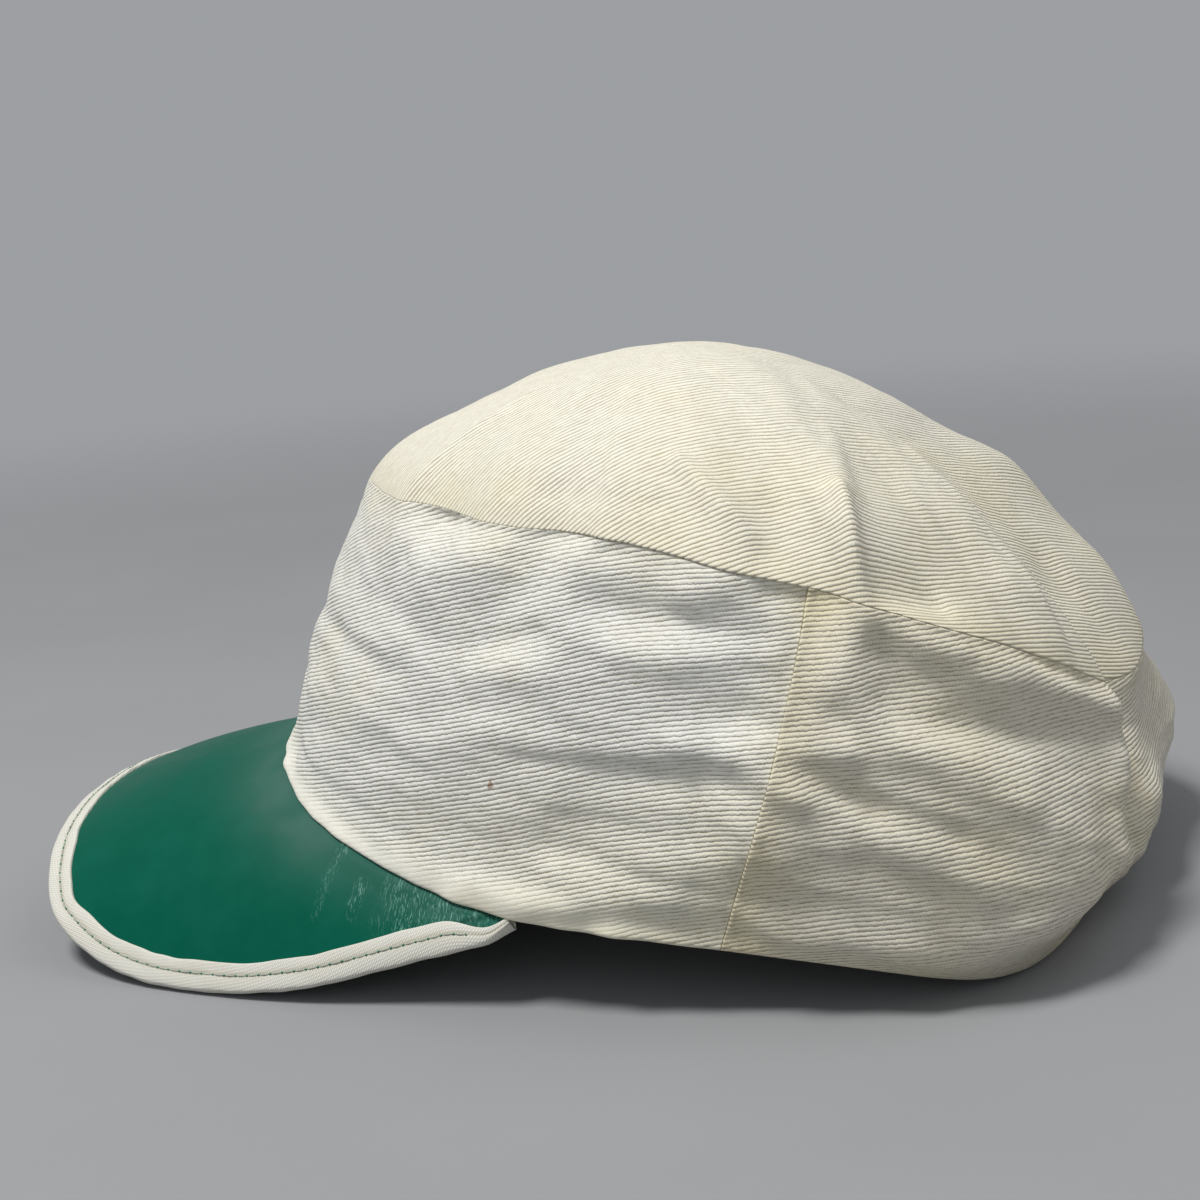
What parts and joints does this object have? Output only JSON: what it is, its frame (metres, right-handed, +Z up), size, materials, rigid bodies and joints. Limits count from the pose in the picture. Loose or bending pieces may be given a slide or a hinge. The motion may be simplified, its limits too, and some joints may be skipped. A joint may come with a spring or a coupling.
{
  "type": "cadet cap",
  "caption": "Soft cotton twill cap with a domed top, a two-piece cloth band gathered at the nape and an arched vinyl-faced peak bound in woven tape.",
  "frame": {"origin": "middle of the cap's outline seen from above, on the level surface that it rests on", "axes": "+X towards the wearer's left, -Y to the front where the peak points, +Z up; the cap lies on its rear hem and on the two low points of the peak's binding"},
  "size_m": [0.1768, 0.2828, 0.1344],
  "materials": {
    "top_twill": "matt cotton twill, off-white with a faint warm age tint",
    "front_twill": "matt cotton twill, off-white",
    "back_twill": "matt cotton twill, off-white with a faint warm age tint",
    "peak_vinyl": "semi-gloss green vinyl over board, finely creased by the hem",
    "binding_tape": "matt ribbed cotton tape with one row of green stitching"
  },
  "bodies": {
    "root": {"crown_top": "top_twill", "front_band": "front_twill", "back_band": "back_twill", "peak": "peak_vinyl", "peak_binding": "binding_tape"}
  },
  "joints": []
}
